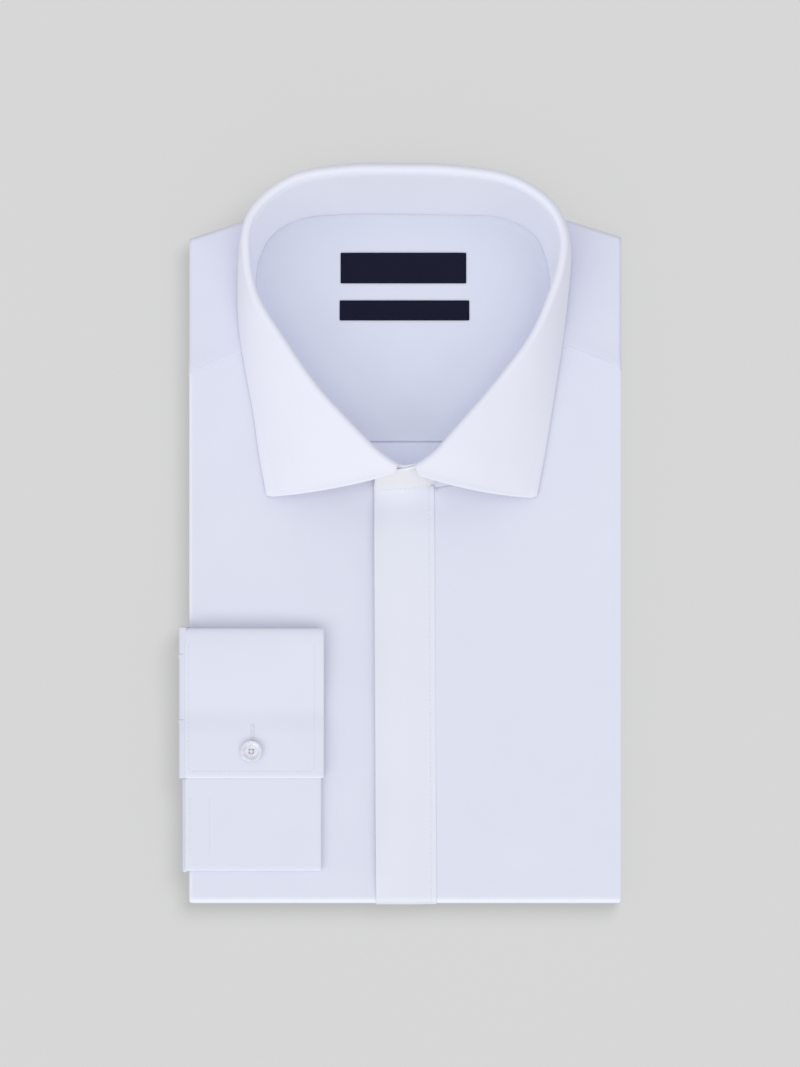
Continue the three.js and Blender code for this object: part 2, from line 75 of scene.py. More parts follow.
def make_mesh(name, points, faces, cloth_run=None, highlight_paint=None):
    """A smooth mesh from points in mm; each keeps its run along the cloth and its share of painted highlight.
    """
    mesh = bpy.data.meshes.new(name)
    mesh.from_pydata((np.asarray(points) * MM).tolist(), [], [list(map(int, f)) for f in faces])
    mesh.validate()
    mesh.polygons.foreach_set("use_smooth", [True] * len(mesh.polygons))
    if cloth_run is not None:
        run = mesh.attributes.new("cloth_run", "FLOAT_VECTOR", "POINT")
        run.data.foreach_set("vector", np.asarray(cloth_run, np.float32).ravel())
    if highlight_paint is not None:
        pale = mesh.attributes.new("painted_highlight", "FLOAT", "POINT")
        pale.data.foreach_set("value", np.asarray(highlight_paint, np.float32).ravel())
    piece = bpy.data.objects.new(name, mesh)
    scene.collection.objects.link(piece)
    return piece


def row_of(x, y, z):
    return np.stack(np.broadcast_arrays(x, y, z), -1)


def arc_length(grid, axis):
    step = np.linalg.norm(np.diff(grid, axis=axis), axis=-1)
    pad = [(0, 0), (0, 0)]
    pad[axis] = (1, 0)
    return np.pad(np.cumsum(step, axis=axis), pad)


def cloth_wall(name, grid, thickness, node, material=None, slot="shirting", highlight_paint=None):
    """Cloth about a grid of points, closed all round by a rounded edge; its thickness may differ by row."""
    grid = np.asarray(grid, float)
    rows, columns = grid.shape[:2]
    along, across = np.gradient(grid, axis=0), np.gradient(grid, axis=1)
    normal = unit(np.cross(along, across))
    out = np.zeros_like(grid)
    out[0] -= unit(along[0])
    out[-1] += unit(along[-1])
    out[:, 0] -= unit(across[:, 0])
    out[:, -1] += unit(across[:, -1])
    out = unit(out - (out * normal).sum(-1, keepdims=True) * normal)
    index = np.arange(rows * columns).reshape(rows, columns)
    edge = np.concatenate([index[0], index[1:, -1], index[-1, -2::-1], index[-2:0:-1, 0]])
    run = np.stack([arc_length(grid, 1), arc_length(grid, 0), np.zeros((rows, columns))], -1)
    flat, n, o, r = (a.reshape(-1, 3) for a in (grid, normal, out, run))
    half = np.broadcast_to(thickness, (rows, columns)).reshape(-1, 1) / 2
    points = [flat + n * half, flat - n * half]
    runs = [r, r]
    # each point's share of painted highlight, the same on both faces and round the edge
    pale = np.zeros(rows * columns) if highlight_paint is None else np.broadcast_to(highlight_paint, (rows, columns)).ravel()
    pales = [pale, pale]
    for k in range(1, RIM_STEPS):
        turn = pi * k / RIM_STEPS
        points.append(flat[edge] + half[edge] * (o[edge] * sin(turn) + n[edge] * cos(turn)))
        runs.append(r[edge])
        pales.append(pale[edge])
    quads = np.stack([index[:-1, :-1], index[1:, :-1], index[1:, 1:], index[:-1, 1:]], -1).reshape(-1, 4)
    faces = [quads, quads[:, ::-1] + rows * columns]
    between = [(2 * rows * columns + k * len(edge)) + np.arange(len(edge)) for k in range(RIM_STEPS - 1)]
    loops = [edge, *between, edge + rows * columns]
    for a, b in zip(loops, loops[1:]):
        faces.append(np.stack([a, np.roll(a, -1), np.roll(b, -1), b], -1))
    piece = make_mesh(name, *(np.concatenate(part) for part in (points, faces, runs, pales)))
    cross = np.cross(grid[1:, 1:] - grid[:-1, :-1], grid[1:, :-1] - grid[:-1, 1:])
    piece["cloth_area"] = float(np.linalg.norm(cross, axis=-1).sum()) / 2 * MM * MM
    piece["cut"] = [float(run[..., k].max()) * MM for k in range(2)]
    return dress(piece, material or shirting, slot, node)


def feed(tree, node, inputs):
    """Gives a node its inputs: sockets are linked and plain values are set."""
    for key, value in inputs.items():
        if isinstance(value, bpy.types.NodeSocket):
            tree.links.new(value, node.inputs[key])
        else:
            node.inputs[key].default_value = value


def add_node(tree, kind, inputs=(), **settings):
    node = tree.nodes.new(kind)
    for key, value in settings.items():
        setattr(node, key, value)
    feed(tree, node, dict(inputs))
    return node


def new_material(name):
    material = bpy.data.materials.new(name)
    material.use_nodes = True
    return material, material.node_tree, material.node_tree.nodes["Principled BSDF"]


PAINTED_HIGHLIGHT_GAIN = 1.22  # painted highlight: an edge is painted this much paler than the cloth, for the light that it catches
BANDS = 0.314  # the scale that a wave texture needs for one band in each unit of its run


def poplin(name, pale, deep, highlight_paint=None, weave=0.35, sheen=0.2, relief=0.02, rough=0.75, shine=0.25):
    """Pressed cotton poplin: a fine plain weave, slubs along the threads, a soft uneven whiteness, and a
    paler colour painted where a mesh marks painted highlight.
    """
    # the paler colour of the painted highlight, by default the cloth's own colour times the gain
    highlight_paint = highlight_paint or tuple(min(1.0, PAINTED_HIGHLIGHT_GAIN * part) for part in pale)
    material, tree, cloth = new_material(name)
    run = add_node(tree, "ShaderNodeAttribute", attribute_name="cloth_run").outputs["Vector"]
    wave = {"Vector": run, "Scale": BANDS / weave, "Distortion": 0.4, "Detail": 1.0, "Detail Scale": 0.5}
    warp, weft = (add_node(tree, "ShaderNodeTexWave", wave, wave_type="BANDS", bands_direction=way)
                  for way in "XY")
    over = add_node(tree, "ShaderNodeMath", {0: warp.outputs["Fac"], 1: weft.outputs["Fac"]},
                    operation="MULTIPLY")
    drawn_out = add_node(tree, "ShaderNodeMapping", {"Vector": run, "Scale": (0.35, 2.6, 1.0)})
    slub = add_node(tree, "ShaderNodeTexNoise", {"Vector": drawn_out.outputs[0], "Scale": 1.0, "Detail": 3.0})
    height = add_node(tree, "ShaderNodeMath", {0: slub.outputs["Fac"], 1: 0.5, 2: over.outputs[0]},
                      operation="MULTIPLY_ADD")
    raised = {"Strength": 0.7, "Distance": relief * MM, "Height": height.outputs[0]}
    bump = add_node(tree, "ShaderNodeBump", raised)
    place = add_node(tree, "ShaderNodeTexCoord").outputs["Object"]
    uneven = add_node(tree, "ShaderNodeTexNoise", {"Vector": place, "Scale": 30.0, "Detail": 2.0})
    spread = {"Value": uneven.outputs["Fac"], "From Min": 0.3, "From Max": 0.7}
    share = add_node(tree, "ShaderNodeMapRange", spread)
    plain = add_node(tree, "ShaderNodeMix", {0: share.outputs[0], 6: (*deep, 1), 7: (*pale, 1)},
                     data_type="RGBA")
    # painted highlight: each point's share blends the colour towards the paler one
    edge = add_node(tree, "ShaderNodeAttribute", attribute_name="painted_highlight")
    colour = add_node(tree, "ShaderNodeMix", {0: edge.outputs["Fac"], 6: plain.outputs[2], 7: (*highlight_paint, 1)},
                      data_type="RGBA")
    feed(tree, cloth, {"Normal": bump.outputs[0], "Base Color": colour.outputs[2], "Roughness": rough,
                       "Specular IOR Level": shine, "Sheen Weight": sheen, "Sheen Roughness": 0.4})
    return material


def dress(piece, material, slot, *nodes):
    piece.data.materials.append(material)
    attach(piece, "root")
    if nodes:
        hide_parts(*nodes)
    return piece


def eased(value):
    value = np.clip(value, 0, 1)
    return value * value * (3 - 2 * value)


def sleeve_lift(y):
    """1 where the sleeve comes out of the fold on the left, easing to 0 either side."""
    way = SLEEVE_WAY
    return eased((y - way["low"]) / way["ease"]) * eased((way["high"] - y) / way["ease"])


def squared(turn):
    """Cosine and sine of a turn, drawn out so that an arc made with them is nearly square."""
    c, s = np.cos(turn), np.sin(turn)
    return np.sign(c) * np.abs(c) ** SHARP, np.sign(s) * np.abs(s) ** SHARP


def painted_fold_highlight(turn):
    """Painted highlight round a fold: how much paler the cloth is painted at each place round it, most a
    little way round, where the fold catches the light.
    """
    return np.exp(-((np.asarray(turn) - 0.75) / 0.5) ** 2)


def side_turn(side, top, low, inset, tuck):
    """Section round one side fold: x and height above the fold's plane, from the face to inside it."""
    inward = 1 if side < 0 else -1
    radius, middle = (top - low) / 2, (top + low) / 2
    c, s = squared(np.linspace(pi / 2, -pi / 2, SIDE_STEPS))
    x = side + inward * (inset + radius * SIDE_DEPTH * (1 - c))
    h = middle + radius * s
    inner = np.linspace(0, tuck, TUCK_STEPS + 1)[1:]
    return np.concatenate([x, x[-1] + inward * inner]), np.concatenate([h, np.full(TUCK_STEPS, low)])


def bent(x, y, h, turn):
    """A point of the folded stack; y is its place along the shirt and turn how far round the bottom fold."""
    c, s = squared(turn)
    low = (MID - HEM_LOW - CLOTH / 2) / OUTER
    drop = low + (1 - low) * eased((y - BEND_Y) / SETTLED)
    return np.stack([x, y - h * s * HEM_REACH / OUTER, MID + h * c * np.where(c > 0, 1, drop)], -1)


shirting = poplin("white_poplin", (0.722, 0.744, 0.872), (0.706, 0.728, 0.858))
FLY = {"left_top": -13.2, "left_low": -12.1, "right_top": 17.4, "right_low": 18.6, "top": 25.0}
FLY_BED = 1.25  # the front is pressed in by this much where the fly lies under it
FLY_BED_SLOPE = 2.2
LAYER_KEYS = ("name", "out", "inset", "start", "end", "tuck", "hem")
UNDER_LAYERS = [dict(zip(LAYER_KEYS, row)) for row in [
    ("turned_under_front", OUTER, 0.9, BEND_Y, 165.2, 60.0, 0.5),
    ("turned_under_back", OUTER - 1.7, 2.1, -60.0, 163.0, 52.0, 0.5),
    ("folded_sleeve", OUTER - 3.4, 3.9, -40.0, 160.6, 46.0, 0.0),
    ("folded_sleeve_low", OUTER - 5.1, 3.2, -20.0, 162.4, 40.0, 0.0),
]]
HEM_DEEP = 6.5
HEM_ROWS = 8
HEM_STITCHED = 0.6  # the row of the hem, counted from its inner edge, that its stitches lie on
UNDER_ROWS = 88
FACE_COLUMNS = 70
# The outline of the shoulder end, from the left side fold to the right one
END_CORNERS = [(SIDE_LEFT, 153.9), (-79.8, 163.8), (-50, 169.5), (55, 169.5), (86.8, 163.8),
               (SIDE_RIGHT, 154.9)]


def end_slope(x):
    """How far up the shirt its shoulder end lies, at each place across it."""
    return np.interp(x, *np.array(END_CORNERS).T)


SOFT_CREASES = [
    # from x, y    to x, y    width    rise
    (-112, -43.5, -52, -44.5, 4.5, -0.9),
    (-16, -180, -17, 0, 7, -0.35),
    (-9, -40, -9, 25, 17, -0.9),
    (-98, -20, -60, 34, 9, -0.22),
    (-40, -30, -26, 20, 7, -0.30),
    (30, -60, 46, 12, 10, -0.24),
    (62, -150, 70, -20, 13, -0.18),
    (96, -120, 88, 30, 8, -0.16),
    (28, -178, 100, -170, 7, -0.20),
    (92, 60, 104, 120, 6, -0.22),
    (-102, 40, -92, 120, 6, -0.20),
    (-32, -170, -27, -80, 6, -0.22),
]


def soft_creases(x, y):
    """The few soft troughs that pressing left in the face, each fading out at its ends and sides."""
    depth = np.zeros(np.broadcast(x, y).shape)
    for x0, y0, x1, y1, width, rise in SOFT_CREASES:
        run_x, run_y = x1 - x0, y1 - y0
        share = ((x - x0) * run_x + (y - y0) * run_y) / (run_x ** 2 + run_y ** 2)
        aside = np.hypot(x - x0 - share * run_x, y - y0 - share * run_y)
        ends = eased((share + 0.25) / 0.5) * eased((1.25 - share) / 0.5)
        depth = depth + rise * ends * np.exp(-(aside / width) ** 2)
    return depth


def under_grid(layer):
    """One layer of the turned-under half; the outside one is pressed in under the fly."""
    whole = layer["out"] == OUTER
    length = layer["end"] - layer["start"]
    hem_from = 1 - HEM_DEEP / length
    shares = np.concatenate([np.linspace(0, hem_from, UNDER_ROWS),
                             np.linspace(hem_from + 0.3 / length, 1, HEM_ROWS)])
    outside = np.pad(np.ones(FACE_COLUMNS), SIDE_STEPS + TUCK_STEPS)
    rows = []
    for share in shares:
        low = PARTED + (SLEEVE_WAY["under"] * sleeve_lift(layer["start"] + share * length) if whole else 0)
        x_left, h_left = side_turn(SIDE_LEFT, layer["out"], low, layer["inset"], layer["tuck"])
        x_right, h_right = side_turn(SIDE_RIGHT, layer["out"], PARTED, layer["inset"], layer["tuck"])
        across = np.linspace(x_left[0], x_right[0], FACE_COLUMNS + 2)[1:-1]
        face = np.full(FACE_COLUMNS, layer["out"] - (layer["hem"] / 2 if share > hem_from else 0))
        if whole:
            beside = np.minimum(across - FLY["left_low"], FLY["right_low"] - across) + FLY_BED_SLOPE
            face = face - FLY_BED * eased(beside / FLY_BED_SLOPE)
        x = np.concatenate([x_left[::-1], across, x_right])
        h = np.concatenate([h_left[::-1], face, h_right])
        y = layer["start"] + share * (end_slope(x) + layer["end"] - END_CORNERS[2][1] - layer["start"])
        sag = 0.3 * np.abs(np.sin(x / 19 + layer["out"])) * eased((share - 0.8) / 0.2)
        if whole:
            inside_edges = np.minimum(x - SIDE_LEFT, SIDE_RIGHT - x)
            h = h + soft_creases(-x, y) * outside * eased((inside_edges - 3) / 8)
        rows.append(bent(x, y, h - sag * (h < layer["out"] - 1.5 - FLY_BED), pi))
    return np.array(rows)


STITCH = {"length": 1.9, "pitch": 2.35, "thread": 0.17}
THREAD_SIDES = 6
THREAD_RINGS = 5


def thread_mesh(name, middle, up, thread, material, slot):
    """Short threads, each along its own row of middle points, swelling between its ends."""
    up = np.broadcast_to(up, middle.shape)
    count, rings = middle.shape[:2]
    share = np.linspace(-1, 1, rings)
    swell = np.sqrt(np.maximum(1 - share ** 2, 0.04))
    way = unit(middle[:, -1] - middle[:, 0])[:, None, :]
    beside = unit(np.cross(np.broadcast_to(way, up.shape), up))
    middle = middle + up * (thread * (0.9 * swell - 0.55))[None, :, None]
    round_it = np.linspace(0, 2 * pi, THREAD_SIDES, endpoint=False)
    spoke = (beside[:, :, None] * np.cos(round_it)[None, None, :, None]
             + up[:, :, None] * np.sin(round_it)[None, None, :, None])
    points = middle[:, :, None] + spoke * (thread * swell)[None, :, None, None]
    index = np.arange(count * rings * THREAD_SIDES).reshape(count, rings, THREAD_SIDES)
    turned = np.roll(index, -1, axis=2)
    quads = np.stack([index[:, :-1], index[:, 1:], turned[:, 1:], turned[:, :-1]], -1).reshape(-1, 4)
    faces = [*quads, *index[:, 0], *index[:, -1, ::-1]]
    run = np.zeros((points.size // 3, 3))
    piece = make_mesh(name, points.reshape(-1, 3), faces, run)
    return dress(piece, material, slot)


def on_grid(grid, row_share, column_share, thickness, side):
    """Points on the face of a cloth grid, at shares of its rows and columns, and the way they face."""
    grid = np.asarray(grid, float)
    normal = unit(np.cross(np.gradient(grid, axis=0), np.gradient(grid, axis=1)))
    last = np.array(grid.shape[:2]) - 1
    at = np.clip(row_of(row_share, column_share, 0)[:, :2] * last, 0, last - 1e-6)
    i, j = at.astype(int).T
    fr, fc = (at - at.astype(int)).T[..., None]

    def blend(a):
        return ((a[i, j] * (1 - fc) + a[i, j + 1] * fc) * (1 - fr)
                + (a[i + 1, j] * (1 - fc) + a[i + 1, j + 1] * fc) * fr)

    n = unit(blend(normal)) * side
    return blend(grid) + n * thickness / 2, n


def stitch_row(name, grid, row_share, column_share, wall, side=1, slot="shirting", thread=None, sizes=STITCH):
    """A row of stitches on a cloth grid: each is a short thread that dips in at both ends."""
    path, facing = on_grid(grid, row_share, column_share, wall, side)
    along = np.concatenate([[0], np.cumsum(np.linalg.norm(np.diff(path, axis=0), axis=1))])
    starts = np.arange(sizes["pitch"] / 2, along[-1] - sizes["length"], sizes["pitch"])
    at = starts[:, None] + np.linspace(0, 1, THREAD_RINGS) * sizes["length"]
    middle, up = (np.stack([np.interp(at, along, part[:, k]) for k in range(3)], -1)
                  for part in (path, facing))
    return thread_mesh(name, middle, unit(up), sizes["thread"], thread or thread_white, slot)


thread_white = poplin("white_thread", (0.76, 0.78, 0.86), (0.74, 0.76, 0.84), weave=0.2, sheen=0.4,
                      relief=0.01)
hem_wall = np.repeat([0.0, 1.0], [UNDER_ROWS, HEM_ROWS])[:, None]
for layer in UNDER_LAYERS:
    grid = under_grid(layer)
    piece = cloth_wall(layer["name"], grid, CLOTH + layer["hem"] * hem_wall, "folded_layers")
    sewn = []
    if layer["out"] == OUTER:
        sewn.append(stitch_row("hem_stitching", grid, (UNDER_ROWS + HEM_STITCHED) / (len(grid) - 1),
                               np.linspace(0.2, 0.8, 600), CLOTH + layer["hem"]))

# Fronts
# Two fronts of the same poplin. Each runs from the neck and the fly across the face of the fold,
# round the side fold and back in underneath, and round the bottom fold on to the under side.
FRONT_COLUMNS = 46
BEND_STEPS = 22
FRONT_RUN = 120
LAST_TURN = 0.985 * pi
SEAM_LAP = 0.6  # the fronts run this far in under the yoke
BED_STEP = {"deep": 1.1, "past": 0.7, "ease": 1.6, "below": 30}  # the over front drops beside the fly's seam


def smooth_curve(rows, share):
    """A centripetal Catmull-Rom curve through rows of points, at shares from 0 to 1 of its spans."""
    rows = np.asarray(rows, float)
    padded = np.vstack([2 * rows[0] - rows[1], rows, 2 * rows[-1] - rows[-2]])
    at = np.clip(np.asarray(share, float) * (len(rows) - 1), 0, len(rows) - 1 - 1e-9)
    span = at.astype(int)
    t = (at - span)[:, None]
    p0, p1, p2, p3 = (padded[span + k] for k in range(4))
    d0, d1, d2 = (np.maximum(np.linalg.norm(b - a, axis=1, keepdims=True) ** 0.5, 1e-4)
                  for a, b in ((p0, p1), (p1, p2), (p2, p3)))
    m1 = ((p1 - p0) / d0 - (p2 - p0) / (d0 + d1) + (p2 - p1) / d1) * d1
    m2 = ((p2 - p1) / d1 - (p3 - p1) / (d1 + d2) + (p3 - p2) / d2) * d1
    c2, c3 = -3 * p1 + 3 * p2 - 2 * m1 - m2, 2 * p1 - 2 * p2 + m1 + m2
    return p1 + m1 * t + c2 * t ** 2 + c3 * t ** 3


# Each row is a place round the neck, from the wearer's right front round the back: the foot of the
# stand, the fold where the leaf turns over it, and the leaf's outer edge.
NECK_Z = FRONT_TOP + 0.1
COLLAR = np.array([
    # neck x, y     fold x, y, z        edge x, y, z
    (-8.5, 26, -5.1, 36.5, 43.5, -69.1, 20.1, 19.6),
    (-25.1, 37.2, -23, 54.9, 45, -73, 41.4, 19.5),
    (-42.8, 58.1, -43.4, 77.3, 46, -75.9, 62.2, 19.5),
    (-60, 83.6, -61.8, 103.9, 46.6, -80.3, 86.2, 19.5),
    (-72, 108.6, -74, 124.5, 46.8, -83.4, 106.5, 19.5),
    (-75.9, 129.9, -78.2, 144, 46.9, -84.2, 123.7, 19.5),
    (-73.8, 144.5, -77.2, 161.7, 46.9, -82.4, 147.1, 19.6),
    (-66.8, 156.5, -70.2, 172.6, 46.8, -78.6, 165.1, 17.5),
    (-52.2, 164.8, -54.3, 183.6, 46.7, -66.3, 179.4, 9.5),
    (-27.7, 167.4, -28.8, 188.3, 46.7, -32.4, 191.1, 7),
    (0, 167.4, 0, 188.8, 46.7, 0, 192, 7),
    (27.5, 166.9, 28.5, 188, 46.7, 32.2, 190.6, 7),
    (53, 165.6, 57.7, 182.8, 46.7, 69.2, 179.7, 9.5),
    (70.7, 156, 76, 170.5, 46.8, 84.3, 164.9, 17.5),
    (77, 141.9, 82.9, 156.5, 46.9, 88.1, 146.5, 19.6),
    (78.5, 129.5, 82.2, 142, 46.9, 87.2, 128, 19.5),
    (75.9, 110.7, 77.6, 126, 46.8, 85.6, 112, 19.5),
    (63.4, 84.6, 67.8, 103.9, 46.6, 82.6, 90, 19.5),
    (45.7, 59.1, 49.3, 78.9, 46, 78.7, 65.5, 19.5),
    (29.6, 37.6, 28.7, 54.9, 45, 75.2, 44, 19.5),
    (16, 25.6, 12.1, 35.9, 43.5, 70.6, 19.5, 19.6),
])
DRAWN_UP = {"x": 2.0, "y": 27.0, "wide": 30.0, "long": 10.0, "rise": 2.0}
SLACK = {"y": 15.0, "wide": 24.0, "long": 7.0, "dip": 0.8}


def drawn_up(x, y):
    """How far the fronts are drawn up towards the front of the neck band, past a shallow dip below it."""
    aside = x - DRAWN_UP["x"]
    away = np.hypot(aside / DRAWN_UP["wide"], (y - DRAWN_UP["y"]) / DRAWN_UP["long"])
    dip = SLACK["dip"] * np.exp(-(aside / SLACK["wide"]) ** 2 - ((y - SLACK["y"]) / SLACK["long"]) ** 2)
    return DRAWN_UP["rise"] * np.clip(1 - away, 0, 1) ** 2 - dip


NECK = np.column_stack([COLLAR[:, :2], NECK_Z + drawn_up(COLLAR[:, 0], COLLAR[:, 1])])
neck_line = smooth_curve(NECK, np.linspace(0, 1, 400))
BACK_OF_NECK = 200


def neck_x(y, left):
    """How far from the middle the neck seam lies, at each place up the shirt."""
    half = neck_line[:BACK_OF_NECK] if left else neck_line[BACK_OF_NECK:][::-1]
    rising = np.maximum.accumulate(half[:, 1]) + np.arange(len(half)) * 1e-6
    return np.interp(y, rising, half[:, 0])


YOKE_SEAM = {-1: ((-64, 104.2), (-120, 79.5)), 1: ((64, 112.2), (125, 81.3))}


def yoke_seam_y(x, side):
    (x0, y0), (x1, y1) = YOKE_SEAM[side]
    return y0 + np.clip((x - x0) / (x1 - x0), 0, 1) * (y1 - y0)


def front(node, side, meets):
    """One front, from under the fly to inside the side fold; side is -1 for the wearer's right."""
    edge = SIDE_LEFT if side < 0 else SIDE_RIGHT
    top_y = YOKE_SEAM[side][0][1] + SEAM_LAP
    run = list(np.linspace(1, 0, FRONT_RUN)) + [0.0] * (BEND_STEPS - 1)
    turns = [0.0] * FRONT_RUN + list(np.linspace(0, LAST_TURN, BEND_STEPS)[1:])
    share_across = np.linspace(0, 1, FRONT_COLUMNS)
    share_across = share_across - 0.10 * np.sin(2 * pi * share_across) / (2 * pi)
    rows = []
    # painted highlight along the side fold and round the bottom fold, for the light that these edges catch
    side_fold_highlight = np.pad(painted_fold_highlight(np.linspace(0, pi, SIDE_STEPS)), (FRONT_COLUMNS - 1, TUCK_STEPS))
    rim = np.maximum(side_fold_highlight[None, :], painted_fold_highlight(turns)[:, None])
    for share, turn in zip(run, turns):
        y_mid = BEND_Y + share * (top_y - BEND_Y)
        lift = SLEEVE_WAY["upper"] * sleeve_lift(y_mid) if side < 0 else 0
        x_fold, h_fold = side_turn(edge, OUTER, PARTED + lift, CLOTH / 2, 12)
        inner = meets
        if y_mid > NECK[0, 1]:
            inner = side * max(side * meets, abs(neck_x(y_mid, side < 0)) + 0.3)
        x_face = inner + (x_fold[0] - inner) * share_across[:-1]
        x = np.concatenate([x_face, x_fold])
        h = np.concatenate([np.full(len(x_face), OUTER), h_fold])
        y = BEND_Y + share * (yoke_seam_y(x, side) - BEND_Y)
        on_face = eased((np.abs(x - edge) - 3) / 8) * (np.arange(len(x)) < FRONT_COLUMNS)
        h = h + (soft_creases(x, y) + drawn_up(x, y)) * on_face * cos(min(turn, pi / 2))
        if side > 0:
            seam = FLY["right_top"] + (FLY["right_low"] - FLY["right_top"]) * eased((20 - y) / 200)
            past = (seam + BED_STEP["past"] - x) / BED_STEP["ease"]
            h = h - BED_STEP["deep"] * eased(past) * (y < BED_STEP["below"])
        rows.append(bent(x, y, h, turn))
    if side < 0:
        rows = [row[::-1] for row in rows]
        rim = rim[:, ::-1]
    return cloth_wall(node + "_cloth", rows, CLOTH, node, highlight_paint=rim)


front_under = front("front_under", -1, 1.6)
front_over = front("front_over", 1, 3.0)

# Yoke
# One doubled piece over both shoulders and the back of the neck. It turns down over the shoulder end,
# and its front edges are lapped over the fronts and topstitched.
YOKE_LAP = 1.2
YOKE_LIFT = 0.45
# The share of the neck seam that each place of the yoke's outline faces: the left seam, a place up the
# left side, the six corners of the shoulder end, and the same on the right
YOKE_NECK = [0.185, 0.222, 0.275, 0.325, 0.41, 0.59, 0.675, 0.725, 0.778, 0.815]
YOKE_STEPS = [9, 12, 12, 10, 24, 10, 12, 12, 9]
YOKE_SIDE_Y = 120.0
YOKE_FACE_ROWS = 17
YOKE_STITCHED = {"left": 0.0042, "right": 0.9958}


def inset_corner(k, inset):
    """A corner of the shoulder end with the edges beside it moved in by inset."""
    chain = [(SIDE_LEFT, 0.0), *END_CORNERS, (SIDE_RIGHT, 0.0)]
    before, at, after = (np.array(chain[k + n], float) for n in range(3))
    a, b = unit(at - before), unit(after - at)
    na, nb = np.array([a[1], -a[0]]), np.array([b[1], -b[0]])
    side = (na + nb) / (1 + na @ nb)
    return at + side * inset


def yoke_ring(inset, across):
    """Places round the outline, moved in by inset; across runs over the places of the outline."""
    sides = []
    for side, x in ((-1, SIDE_LEFT + inset), (1, SIDE_RIGHT - inset)):
        sides.append([(x, float(yoke_seam_y(x, side)) - YOKE_LAP), (x, YOKE_SIDE_Y)])
    keys = np.array([*sides[0], *(inset_corner(k, inset) for k in range(len(END_CORNERS))), *sides[1][::-1]])
    return np.stack([np.interp(across, range(len(keys)), keys[:, k]) for k in range(2)], -1)


def yoke_points():
    across = [k + np.linspace(0, 1, n, endpoint=False) for k, n in enumerate(YOKE_STEPS)]
    across = np.append(np.concatenate(across), len(YOKE_STEPS))
    share = np.interp(across, range(len(YOKE_NECK)), YOKE_NECK)
    foot = smooth_curve(NECK, share)[:, :2]
    for side, end in ((-1, 0), (1, -1)):
        foot[end, 1] = min(foot[end, 1], float(yoke_seam_y(foot[end, 0], side)))
    foot = foot + unit(yoke_ring(0, across) - foot) * 0.3
    radius, middle = (OUTER - PARTED) / 2, (OUTER + PARTED) / 2
    depth = radius * SIDE_DEPTH
    first = yoke_ring(CLOTH / 2 + depth, across)
    rings = [(foot + (first - foot) * t, OUTER) for t in np.linspace(0, 1, YOKE_FACE_ROWS + 1)[:-1]]
    for c, s in zip(*squared(np.linspace(pi / 2, -pi / 2, SIDE_STEPS))):
        rings.append((yoke_ring(CLOTH / 2 + depth * (1 - c), across), middle + radius * s))
    rings += [(yoke_ring(CLOTH / 2 + depth + tuck, across), PARTED) for tuck in (3, 6, 9)]
    grid = np.array([row_of(*ring.T, MID + h) for ring, h in rings])
    seam_near = np.zeros(grid.shape[:2])
    for side in (-1, 1):
        seam_y = yoke_seam_y(grid[..., 0], side)
        near = (grid[..., 0] * side > 55) * eased((seam_y + 10 - grid[..., 1]) / 10)
        seam_near = np.maximum(seam_near, near)
        grid[YOKE_FACE_ROWS:, :, 0] += side * 0.6 * YOKE_LIFT * near[YOKE_FACE_ROWS:]
    upper = eased((grid[..., 2] - MID - middle) / radius)
    grid[..., 2] += YOKE_LIFT * seam_near * upper + soft_creases(grid[..., 0], grid[..., 1]) * upper
    return grid


yoke_grid = yoke_points()
yoke = cloth_wall("yoke_cloth", yoke_grid, CLOTH, "yoke")
yoke_stitches = [stitch_row(f"yoke_{name}_stitching", yoke_grid, np.linspace(0.03, 0.44, 200), share,
                            CLOTH, -1) for name, share in YOKE_STITCHED.items()]

# Fly placket
# The edge of the over front, folded into a doubled strip that hides its buttons, and held by one row
# of stitches down its inner side. It turns round the bottom fold with the front.
FLY_WALL = 1.1
FLY_LIFT = 0.35
FLY_SUNK = 1.2  # its stitched side is this much lower than its free edge
FLY_END = 162
FLY_ROWS = 90


def fly_row(y, turn, lying, low, curl=0.0):
    """One row across the fly; low runs from 0 at its top to 1 at the bottom fold."""
    shares = np.concatenate([np.linspace(0, 0.06, 5), np.linspace(0.09, 0.88, 16), np.linspace(0.91, 1, 7)])
    left = FLY["left_top"] + (FLY["left_low"] - FLY["left_top"]) * low
    right = FLY["right_top"] + (FLY["right_low"] - FLY["right_top"]) * low
    x = left + (right - left) * shares
    sunk = FLY_SUNK * (0.4 + 0.6 * max(0.0, cos(turn))) * eased((shares - 0.45) / 0.55)
    h = lying - sunk + 0.10 * np.sin(pi * shares) + curl * (1 - shares) ** 5
    return bent(x, y, h + (drawn_up(x, y) if turn == 0 else 0), turn)


def fly_grid():
    over = MID + FLY_LIFT + FLY_WALL / 2
    rows = []
    for down in np.linspace(0, 1, FLY_ROWS):
        curl = 1.5 * eased(down / 0.16) * eased((1 - down) / 0.06) * (1 + 0.25 * sin(17 * down))
        rows.append(fly_row(FLY["top"] + down * (BEND_Y - FLY["top"]), 0, over, down, curl))
    rows += [fly_row(BEND_Y, turn, over - 0.25 * turn / pi, 1)
             for turn in np.linspace(0, LAST_TURN, BEND_STEPS)[1:]]
    return np.array(rows)


doubled_poplin = poplin("doubled_poplin", (0.78, 0.80, 0.905), (0.766, 0.788, 0.893))
fly_rows = fly_grid()
fly = cloth_wall("fly_placket_cloth", fly_rows, FLY_WALL, "fly_placket", doubled_poplin)
fly_under_rows = [fly_row(y, pi, OUTER - 0.3, 1) for y in np.linspace(BEND_Y, FLY_END, FLY_ROWS)]
fly_under = cloth_wall("fly_placket_turned_under", fly_under_rows, 0.9, "folded_layers", doubled_poplin)
fly_stitches = stitch_row("fly_stitching", fly_rows, np.linspace(0.004, 0.98, 400), 0.79, FLY_WALL)

# Inside of the neck
# The inner yoke and, below its seam, the back. They lie on the layers underneath and fall a little
# towards the front, out of the light.
FLOOR = {"back_y": 167.0, "back_z": 15.6, "front_y": 30.0, "front_z": 9.0, "cloth": 0.9, "seam": 48.7}


